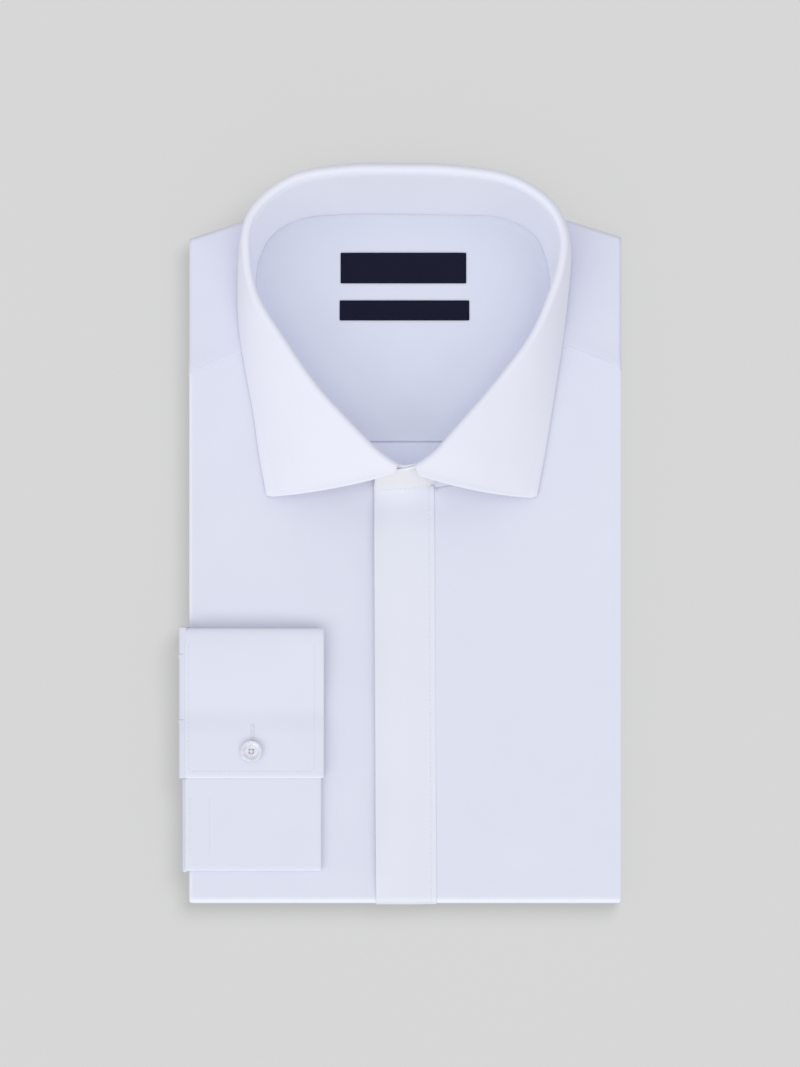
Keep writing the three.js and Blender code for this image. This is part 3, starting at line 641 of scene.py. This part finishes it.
def floor_z(x, y):
    share = (y - FLOOR["front_y"]) / (FLOOR["back_y"] - FLOOR["front_y"])
    plain = FLOOR["front_z"] + (FLOOR["back_z"] - FLOOR["front_z"]) * share + FLOOR["cloth"]
    hollow = 0.5 * np.exp(-((x - 4) / 55) ** 2) * np.sin(pi * np.clip(share, 0, 1))
    swell = 3.0 * eased((105 - y) / 70)
    return plain - hollow + swell + 0.12 * np.sin(x / 13 + y / 29) * np.exp(-((y - 80) / 40) ** 2)


def seam_rise(x, y, level):
    """Height to add to the inside cloth so that it meets the neck seam round the back and sides."""
    away = np.hypot(*(np.subtract.outer(part, neck_line[:, k]) for k, part in enumerate((x, y)))).min(-1)
    return (FRONT_TOP - 1.05 - level) * np.exp(-(away / 2.6) ** 2) * eased((y - 34) / 26)


def inside_grid(low, high, lift=0.0):
    x_all = np.linspace(-96, 100, 130)
    rows = []
    for share in np.linspace(0, 1, 110):
        top = np.minimum(high, end_slope(x_all) - 2.4)
        y = low + share * (top - low)
        raised = lift * np.exp(-(y - low) / 3.0)
        level = floor_z(x_all, y)
        rows.append(row_of(x_all, y, level + seam_rise(x_all, y, level) + raised))
    return np.array(rows)


# painted shade: the inner yoke's poplin is painted darker than the shirt's, for the shade inside the standing
# collar
inside_painted_shade = poplin("inside_poplin_painted_shade", (0.655, 0.68, 0.80), (0.64, 0.665, 0.788))
yoke_inside = cloth_wall("yoke_inside_cloth", inside_grid(FLOOR["seam"], 167.3, lift=0.5), CLOTH,
                         "yoke_inside", inside_painted_shade)
back_inside = cloth_wall("back_inside_cloth", inside_grid(16.0, FLOOR["seam"] + 2.0), 0.5, "back_inside")

# Labels
# Two woven satin tapes, sewn to the inner yoke by their short ends. Both are left blank.
LABELS = {
    "label_main": {"x": (-30.9, 34.2), "y": (131.0, 146.6)},
    "label_small": {"x": (-31.4, 35.8), "y": (111.7, 121.8)},
}
LABEL_WALL = 0.4
LABEL_OVER = 0.62
LABEL_STITCHED = {"left": 0.018, "right": 0.982}
LABEL_STITCH = {"length": 1.1, "pitch": 1.5, "thread": 0.13}
# Dense navy satin: fine ribs across the tape, with little sheen
SATIN = {"weave": 0.28, "sheen": 0.06, "relief": 0.03, "rough": 0.6, "shine": 0.12}
navy_satin = poplin("navy_satin", (0.0052, 0.0065, 0.025), (0.0042, 0.0053, 0.021), **SATIN)
navy_thread = poplin("navy_thread", (0.012, 0.014, 0.03), (0.010, 0.012, 0.026), **SATIN)
for label_name, ends in LABELS.items():
    rows = []
    for y in np.linspace(*ends["y"], 14):
        x = np.linspace(*ends["x"], 48)
        across = (x - x[0]) / (x[-1] - x[0])
        lift = 0.18 * np.sin(pi * across) ** 2 + 0.05 * np.sin(9 * across)
        rows.append(row_of(x, y, floor_z(x, y) + LABEL_OVER + lift))
    tape = cloth_wall(label_name + "_tape", rows, LABEL_WALL, label_name, navy_satin, "label_weave")
    sewn = [stitch_row(f"{label_name}_{end}_stitches", rows, np.linspace(0.06, 0.94, 20), share, LABEL_WALL,
                       slot="label_weave", thread=navy_thread, sizes=LABEL_STITCH)
            for end, share in LABEL_STITCHED.items()]

# Collar stand
# An interlined band that stands up round the neck and leans back, with its two front ends lapped.
# Its lower edge is topstitched to the neck seam.
STIFF = "stiffened_shirting"
STAND_WALL = 1.2
STAND_SHARE = 0.94
STATIONS = 180
END_Z = 42.6
END_DROP = 1.2
CURVED_IN = {"below": 46.5, "over": 10.5, "middle": 3.4, "by": 3.9}
LAPPED_END_HIGHLIGHT = {"rows": 34, "ease": 10}  # its last rows, the lapped end, are painted paler: painted highlight on its steep front face
UNDER_END = [((2, 26), (2.5, 35.9)), ((12.5, 27.8), (11.5, 37.6))]
OVER_END = [((4, 23.8), (3.2, 34.6)), ((-13.2, 23.6), (-12.4, 33.4))]
stations = np.linspace(0, 1, STATIONS)
neck = smooth_curve(NECK, stations)
fold = smooth_curve(COLLAR[:, 2:5], stations)
edge = smooth_curve(COLLAR[:, 5:8], stations)
# Near its two front ends the fold curves in towards the middle of the neck
near_front = np.clip((CURVED_IN["below"] - fold[:, 1]) / CURVED_IN["over"], 0, 1) ** 2
fold[:, 0] += np.where(fold[:, 0] < CURVED_IN["middle"], 1, -1) * CURVED_IN["by"] * near_front


def end_station(ends, k):
    (nx, ny), (fx, fy) = ends[k]
    foot = NECK_Z + drawn_up(nx, ny) + (FLY_LIFT + FLY_WALL if ends is OVER_END else 0)
    return np.array([nx, ny, foot]), np.array([fx, fy, END_Z - END_DROP * k])


def filled(start, stop, count):
    """Stations in between two places of the stand, so its ends are as fine as its ring."""
    return [tuple(a + (b - a) * t for a, b in zip(start, stop)) for t in np.linspace(0, 1, count)[:-1]]


ring = list(zip(neck, fold))
under_near, under_far, over_near, over_far = (end_station(ends, k) for ends in (UNDER_END, OVER_END)
                                              for k in range(2))
chain = [*filled(under_far, under_near, 8), *filled(under_near, ring[0], 8), *ring,
         *filled(ring[-1], over_near, 8)[1:], *filled(over_near, over_far, 12), over_far]
heights = np.linspace(0, STAND_SHARE, 14)[:, None]
stand_rows = np.array([foot + (top - foot) * heights for foot, top in chain])
for _ in range(3):
    stand_rows[1:-1] = (stand_rows[:-2] + 2 * stand_rows[1:-1] + stand_rows[2:]) / 4
stiff_poplin = poplin("stiff_poplin", (0.805, 0.82, 0.93), (0.793, 0.808, 0.92))
# its third colour is the paler one of the painted highlight on the lapped end
stand_poplin = poplin("stand_poplin", (0.80, 0.82, 0.925), (0.79, 0.81, 0.915), (0.96, 0.965, 1.0))
# painted highlight: the lapped end is painted paler, fading in over its first rows and most towards its top,
# for the light that its face would catch
lapped_end_paint = eased((np.arange(-len(stand_rows), 0) + LAPPED_END_HIGHLIGHT["rows"]) / LAPPED_END_HIGHLIGHT["ease"])
stand_painted_highlight = lapped_end_paint[:, None] * np.linspace(0.8, 1.0, stand_rows.shape[1])
stand = cloth_wall("collar_stand_cloth", stand_rows, STAND_WALL, "collar_stand", stand_poplin, STIFF,
                   stand_painted_highlight)
stand_stitches = stitch_row("stand_stitching", stand_rows, np.linspace(0.02, 0.98, 900), 0.075, STAND_WALL,
                            -1, STIFF)

# Collar leaf
# The fall of the collar: sewn to the top of the stand, rolled over it and pressed down to its edge,
# with two spread points whose tips lie on the fronts.
LEAF_WALL = 1.2
LEAF_SHARE = 0.96
ROLL = 1.75
ROLL_STEPS = 12
FALL_STEPS = 26
FALL_BULGE = 2.2
FRONT_BOW = {"start": 3.1, "end": 3.7}  # how far its front edges swell beyond the ends of the stand
run = unit(np.gradient(fold, axis=0))
outward = unit(row_of(-run[:, 1], run[:, 0], 0.0))
up = np.array([0.0, 0.0, 1.0])


def lean(v):
    return np.arctan2(v @ up, (v * outward).sum(1))


from_angle, to_angle = lean(fold - neck), lean(edge - fold)
sections = [neck + (fold - neck) * LEAF_SHARE]
for k in range(ROLL_STEPS + 1):
    turn = from_angle + (to_angle - from_angle) * k / ROLL_STEPS
    across = ROLL * (np.sin(from_angle) - np.sin(turn))
    rise = ROLL * (np.cos(turn) - np.cos(from_angle))
    sections.append(fold + outward * across[:, None] + up * rise[:, None])
start = sections[-1]
control = (start + edge) / 2 + outward * FALL_BULGE * 0.7 + up * FALL_BULGE
for s in np.linspace(0, 1, FALL_STEPS + 1)[1:]:
    sections.append((start * (1 - s) + control * s) * (1 - s) + (control * (1 - s) + edge * s) * s)
leaf_rows = np.stack(sections, axis=1)
rolled = np.clip(np.arange(leaf_rows.shape[1]) / (ROLL_STEPS + 1), 0, 1)
fallen = np.clip((np.arange(leaf_rows.shape[1]) - ROLL_STEPS - 1) / FALL_STEPS, 0, 1)
swell = (0.75 * rolled ** 2 + 1.7 * fallen) * (1 - fallen)


def swollen(section, bow):
    moved = section.copy()
    moved[:, 1] -= bow * swell
    moved[:, 2] -= 0.2 * bow * swell
    return moved


leaf_rows = np.concatenate([
    [swollen(leaf_rows[0], FRONT_BOW["start"] * t) for t in (1, 0.75, 0.5, 0.25)],
    leaf_rows,
    [swollen(leaf_rows[-1], FRONT_BOW["end"] * t) for t in (0.25, 0.5, 0.75, 1)],
])
leaf = cloth_wall("collar_leaf_cloth", leaf_rows, LEAF_WALL, "collar_leaf", stiff_poplin, STIFF)
front_ends = {"left": 0.012, "right": 0.988}
leaf_seams = [("edge", np.linspace(*front_ends.values(), 1200), 0.93)]
leaf_seams += [(f"{name}_front", at, np.linspace(0.42, 0.93, 200)) for name, at in front_ends.items()]
leaf_stitches = [stitch_row(f"leaf_{name}_stitching", leaf_rows, along, across, LEAF_WALL, 1, STIFF,
                            stiff_poplin, {**STITCH, "thread": 0.1}) for name, along, across in leaf_seams]

# Cuff
# An interlined band wound once round: the buttonhole end lies over the button end. Its outer edges
# are topstitched, and its inner edge holds the sleeve.
CUFF = {"top": -48.7, "bottom": -175.2, "over_end": -126.3, "under_end": -104.4, "left": -111.5,
        "wrist": -40.2, "wrist_under": -41.6}
CUFF_WALL = 1.15
LAYER = 1.55
CUFF_RAMP = 14.0
CUFF_ROLL = 6.2  # the top fold is a soft roll, this long
CUFF_PUFF = 2.9
CUFF_TOP_LIFT = 1.5  # it stands a little off the front
CUFF_ROWS = {"over": 59, "roll": 18, "under": 48, "bottom": 12, "end": 39}
# rows round the bottom fold that get painted highlight
HIGHLIGHT_ROWS = 7


def layer_z(n):
    return FRONT_TOP + 0.95 + n * LAYER


def cuff_path():
    """Section of the wound cuff, from the buttonhole end round to the button end: y and z."""
    low, turn = layer_z(0), LAYER / 2
    inset = turn + CUFF_WALL / 2
    high = layer_z(1) + CUFF_PUFF
    roll_y, roll_z = CUFF["top"] - CUFF_ROLL - CUFF_WALL / 2, (high - low - CUFF_TOP_LIFT) / 2
    count = CUFF_ROWS
    points = []
    for y in np.linspace(CUFF["over_end"], roll_y, count["over"] + 1)[:-1]:
        climb = eased((CUFF["under_end"] + CUFF_RAMP - y) / CUFF_RAMP)
        puffed = eased((y - CUFF["under_end"]) / (roll_y - CUFF["under_end"]))
        points.append((y, layer_z(1) + 0.12 + climb * (LAYER - 0.05) + CUFF_PUFF * puffed))
    for a in np.linspace(0, pi, count["roll"]):
        points.append((roll_y + CUFF_ROLL * sin(a), high - roll_z * (1 - cos(a))))
    for y in np.linspace(roll_y, CUFF["bottom"] + inset, count["under"] + 2)[1:-1]:
        points.append((y, low + CUFF_TOP_LIFT * eased((y - roll_y + 22) / 22)))
    for a in np.linspace(0, pi, count["bottom"]):
        points.append((CUFF["bottom"] + inset - turn * sin(a), low + turn - turn * cos(a)))
    for y in np.linspace(CUFF["bottom"] + inset, CUFF["under_end"], count["end"] + 1)[1:]:
        points.append((y, layer_z(1)))
    return np.array(points)


cuff_line = cuff_path()
rows = []
for k, (y, z) in enumerate(cuff_line):
    wrist = CUFF["wrist"] if k < CUFF_ROWS["over"] + CUFF_ROWS["roll"] / 2 else CUFF["wrist_under"]
    rows.append(row_of(CUFF["left"] + (wrist - CUFF["left"]) * np.linspace(0, 1, 40), y, z))
cuff_rows = np.array(rows)
bottom_row = CUFF_ROWS["over"] + CUFF_ROWS["roll"] + CUFF_ROWS["under"]
# painted highlight: the edge of the buttonhole end and the rows round the bottom fold are painted paler, for
# the light that these edges catch
cuff_painted_highlight = np.zeros(len(cuff_line))
cuff_painted_highlight[0] = 0.3
cuff_painted_highlight[bottom_row - 1:][:HIGHLIGHT_ROWS] = painted_fold_highlight(np.linspace(1.9, 0.0, HIGHLIGHT_ROWS))
cuff_poplin = poplin("cuff_poplin", (0.752, 0.773, 0.885), (0.737, 0.758, 0.873))
cuff = cloth_wall("cuff_cloth", cuff_rows, CUFF_WALL, "cuff", cuff_poplin, STIFF, cuff_painted_highlight[:, None])
last = len(cuff_line) - 1
end_row = bottom_row + CUFF_ROWS["bottom"]
over = np.linspace(2.0, CUFF_ROWS["over"] - 1, 300) / last
end = np.linspace(end_row + 2, end_row + 20, 120) / last
cuff_seams = [("wrist", over, 0.935), ("seam", over, 0.018),
              ("end", 2.4 / last, np.linspace(0.02, 0.935, 300)),
              ("button_end_seam", end, 0.028), ("button_end_inner", end, 0.174)]
cuff_stitches = [stitch_row(f"cuff_{name}_stitching", cuff_rows, along, across, CUFF_WALL, -1, STIFF)
                 for name, along, across in cuff_seams]
BUTTONHOLE = {"x": -76.9, "top": -100.0, "bottom": -112.0, "beside": 0.72, "wide": 0.95, "pitch": 0.34}


def cuff_face(y):
    """Height of the cuff's face under a place up the cuff."""
    upper = cuff_line[:CUFF_ROWS["over"] + 1]
    return np.interp(y, upper[:, 0], upper[:, 1]) + CUFF_WALL / 2


def buttonhole_threads():
    """The worked edges of the buttonhole: short threads across it on both sides, and a bar at its end."""
    hole = BUTTONHOLE
    threads = []
    for y in np.arange(hole["bottom"], hole["top"], hole["pitch"]):
        for side in (-1, 1):
            inner = hole["x"] + side * (hole["beside"] - hole["wide"] / 2)
            threads.append([(inner, y), (inner + side * hole["wide"], y)])
    for k in range(4):
        y = hole["top"] + 0.15 + 0.3 * k
        threads.append([(hole["x"] - 1.15, y), (hole["x"] + 1.15, y)])
    ends = np.array(threads)
    share = np.linspace(0, 1, THREAD_RINGS)[None, :, None]
    flat = ends[:, :1] * (1 - share) + ends[:, 1:] * share
    return np.concatenate([flat, cuff_face(flat[..., 1])[..., None]], -1)


cuff_stitches.append(thread_mesh("cuff_buttonhole_stitching", buttonhole_threads(), up, 0.2,
                                 thread_white, STIFF))

# Sleeve
# The end of the right sleeve, pressed flat: it comes out of the side fold, turns up round it and is
# gathered into the cuff with two pleats.
SLEEVE = {"inside": -103.0, "arm": 10.2}
SLEEVE_KEYS = ("name", "side", "turn", "level", "low", "high", "thick")
SLEEVE_LAYERS = [dict(zip(SLEEVE_KEYS, row)) for row in [
    ("sleeve_under", -112.8, 0.9, 0, -174.8, -49.1, 2.3),
    ("sleeve_upper", -114.6, 1.2, 1, -126.3, -48.7, 1.7),
]]
PLEATS = [-62.0, -96.2]
SLEEVE_WALL = 0.9
SLEEVE_SIDE = [2, 7, 16, 21]  # the rows between which it thickens, stays thick and thins again
for layer in SLEEVE_LAYERS:
    r, side = layer["turn"], layer["side"]
    top, arm = layer_z(layer["level"]), SLEEVE["arm"] - LAYER * layer["level"]
    turns = np.linspace(pi / 2, 1.5 * pi, 13)
    drops = np.linspace(0.12, 0.88, 8)
    path = [(CUFF["left"] - 0.2, top)]
    path += [(side + r + r * cos(a), top - r + r * sin(a)) for a in turns[:7]]
    path += [(side - 0.25 * sin(pi * t), top - r + (arm + r - top + r) * t) for t in drops]
    path += [(side + r + r * cos(a), arm + r + r * sin(a)) for a in turns[6:]]
    for t in np.linspace(0.2, 1, 5):
        path.append((path[-1][0] + (SLEEVE["inside"] - path[-1][0]) * t, arm))
    x, z = np.array(path).T
    thick = layer["thick"]
    wall = np.interp(np.arange(len(x)), SLEEVE_SIDE, [SLEEVE_WALL, thick, thick, SLEEVE_WALL])
    x = x + (wall - SLEEVE_WALL) / 2
    rows = []
    for y in np.linspace(layer["high"], layer["low"], 260):
        pleat = sum(0.8 * exp(-((y - p) / 0.45) ** 2) - 0.35 * exp(-((y - p + 1.3) / 0.7) ** 2)
                    for p in PLEATS) if layer["level"] else 0
        loose = np.arange(len(x)) > 0
        level = min(cuff_face(y), cuff_face(CUFF["top"] - CUFF_ROLL)) - 0.75 if layer["level"] else top
        raised = (level - top) * eased((z - arm) / (top - arm)) - 0.5 * abs(pleat) * (x < side + r)
        rows.append(row_of(x + pleat * loose, y, z + raised))
    piece = cloth_wall(layer["name"] + "_cloth", rows, wall, layer["name"])

# Cuff button
# A pearly button with a raised rim, sewn through four holes, over a buttonhole worked in satin stitch.
BUTTON = {"x": -77.5, "y": -112.8}
BUTTON_SEAT = layer_z(2) + CUFF_WALL / 2 + 0.35
BUTTON_SIDES = 64
BUTTON_PROFILE = [(2.4, 1.5), (3.3, 1.58), (3.8, 1.8), (4.3, 2.14), (4.8, 2.26), (5.35, 2.12), (5.72, 1.8),
                  (5.75, 1.2), (5.5, 0.6), (4.6, 0.15), (3.0, 0.0)]
HOLE = {"radius": 0.5, "apart": 1.15}


def on_button(radius, turn, height):
    x, y = BUTTON["x"] + radius * np.cos(turn), BUTTON["y"] + radius * np.sin(turn)
    return row_of(x, y, BUTTON_SEAT + height)


radii, heights = np.array(BUTTON_PROFILE).T[..., None]
points = on_button(radii, np.linspace(0, 2 * pi, BUTTON_SIDES, endpoint=False), heights)
index = np.arange(points.size // 3).reshape(-1, BUTTON_SIDES)
turned = np.roll(index, -1, axis=1)
quads = np.stack([index[:-1], index[1:], turned[1:], turned[:-1]], -1).reshape(-1, 4)
button = make_mesh("cuff_button_disc", points.reshape(-1, 3), [*quads, index[0], index[-1][::-1]])
for k in range(4):
    bpy.ops.mesh.primitive_cylinder_add(vertices=24, radius=HOLE["radius"] * MM, depth=6 * MM,
                                        location=on_button(HOLE["apart"], radians(45 + 90 * k), 0) * MM)
    drill = bpy.context.object
    cut = button.modifiers.new("hole", "BOOLEAN")
    cut.object = drill
    cut.operation = "DIFFERENCE"
    bpy.context.view_layer.objects.active = button
    bpy.ops.object.modifier_apply(modifier=cut.name)
    bpy.data.objects.remove(drill)


def toned(tree, scale, stops, **noise):
    """A cloudy colour between two stops, each a place on the ramp and a colour."""
    place = add_node(tree, "ShaderNodeTexCoord").outputs["Object"]
    cloud = add_node(tree, "ShaderNodeTexNoise", {"Vector": place, "Scale": scale, **noise})
    ramp = add_node(tree, "ShaderNodeValToRGB", {"Fac": cloud.outputs["Fac"]})
    for element, (position, colour) in zip(ramp.color_ramp.elements, stops):
        element.position = position
        element.color = (*colour, 1)
    return ramp.outputs[0]


# Pearly white: clouded, a little translucent, under a clear polish
pearl, tree, shell = new_material("button_pearl")
clouds = toned(tree, 260.0, [(0.35, (0.66, 0.68, 0.77)), (0.65, (0.80, 0.82, 0.91))], Detail=3.0,
               Distortion=1.2)
feed(tree, shell, {"Base Color": clouds, "Roughness": 0.16, "Coat Weight": 0.6, "Coat Roughness": 0.06,
                   "Subsurface Weight": 0.2, "Subsurface Radius": (0.002, 0.002, 0.002),
                   "Subsurface Scale": 0.5})
dress(button, pearl, "button_pearl", "cuff_button")
along = np.linspace(-1, 1, THREAD_RINGS) * (HOLE["apart"] + 0.3)
sewn = []
for turn in (0.25 * pi, 0.75 * pi):
    for ply in (-0.2, 0.2):
        beside = on_button(ply, turn + pi / 2, 1.55) - on_button(0, 0, 0)
        sewn.append(on_button(along, turn, 0) + beside)
thread_mesh("cuff_button_thread", np.array(sewn), up, 0.27, thread_white, "button_pearl")

# Table, light and camera
# A plain pale table top, large soft lights far off, some of which light only single pieces, and a camera
# straight above.
PIXEL = 0.5208
PHOTO_SIZE = (800, 1067)
PHOTO_MIDDLE = (400.25, 534.5)
CAMERA_HEIGHT = 8.0
SENSOR = 36.0
bpy.ops.mesh.primitive_plane_add(size=40, location=(0, 0, -0.2 * MM))
table = bpy.context.object
table.name = "table_top"
table_paint, tree, paint = new_material("table_paint")
clouds = toned(tree, 3.0, [(0.0, (0.185,) * 3), (1.0, (0.189,) * 3)])
feed(tree, paint, {"Base Color": clouds, "Roughness": 0.9, "Specular IOR Level": 0.1,
                   "Emission Color": (1.0, 1.0, 1.0, 1), "Emission Strength": 0.382})
table.data.materials.append(table_paint)

world = bpy.data.worlds.new("studio")
scene.world = world
world.use_nodes = True
feed(world.node_tree, world.node_tree.nodes["Background"], {"Color": (1.0, 1.0, 1.0, 1), "Strength": 0.67})
around_neck = [stand, stand_stitches]
beside_neck = [piece for piece in scene.objects
               if piece.type == "MESH" and piece not in (table, *around_neck)]
# Each light's name, the way to it, its width in degrees, its strength, and the only pieces that it lights
LIGHTS = [
    ("overhead", (0.0, 0.0, 1.0), 45, 0.33, []),
    ("upper_right_on_table", (0.3, 0.42, 1.0), 35, 2.8, [table]),
    ("lower_left_on_shirt", (-0.9, -1.0, 1.0), 40, 0.64, beside_neck),
    ("lower_right_on_shirt", (0.5, -1.1, 1.0), 40, 0.47, beside_neck),
    ("lower_left_on_stand", (-0.95, -0.15, 1.0), 45, 0.57, around_neck),
    ("lower_right_on_stand", (0.95, -0.15, 1.0), 45, 0.54, around_neck),
    ("over_the_back_of_the_neck", (0.35, 1.3, 1.0), 40, 0.79, [yoke_inside, back_inside]),
]
for name, toward, spread, strength, lit in LIGHTS:
    data = bpy.data.lights.new(name, "SUN")
    data.angle = radians(spread)
    data.energy = strength
    lamp = bpy.data.objects.new(name, data)
    lamp.location = Vector(toward) * 3
    lamp.rotation_mode = "QUATERNION"
    lamp.rotation_quaternion = Vector(toward).to_track_quat("Z", "Y")
    lamp.visible_camera = False
    scene.collection.objects.link(lamp)
    if lit:
        group = bpy.data.collections.new(name + "_lights")
        for piece in lit:
            group.objects.link(piece)
        lamp.light_linking.receiver_collection = group

camera_data = bpy.data.cameras.new("camera")
camera = bpy.data.objects.new("camera", camera_data)
scene.collection.objects.link(camera)
middle_x = (PHOTO_SIZE[0] / 2 - PHOTO_MIDDLE[0]) * PIXEL * MM
middle_y = (PHOTO_MIDDLE[1] - PHOTO_SIZE[1] / 2) * PIXEL * MM
camera.location = (middle_x, middle_y, CAMERA_HEIGHT)
camera_data.sensor_width = SENSOR
camera_data.lens = SENSOR * (CAMERA_HEIGHT - FRONT_TOP * MM) / (PHOTO_SIZE[1] * PIXEL * MM)
camera_data.clip_end = 60
scene.camera = camera
scene.view_settings.view_transform = "Standard"
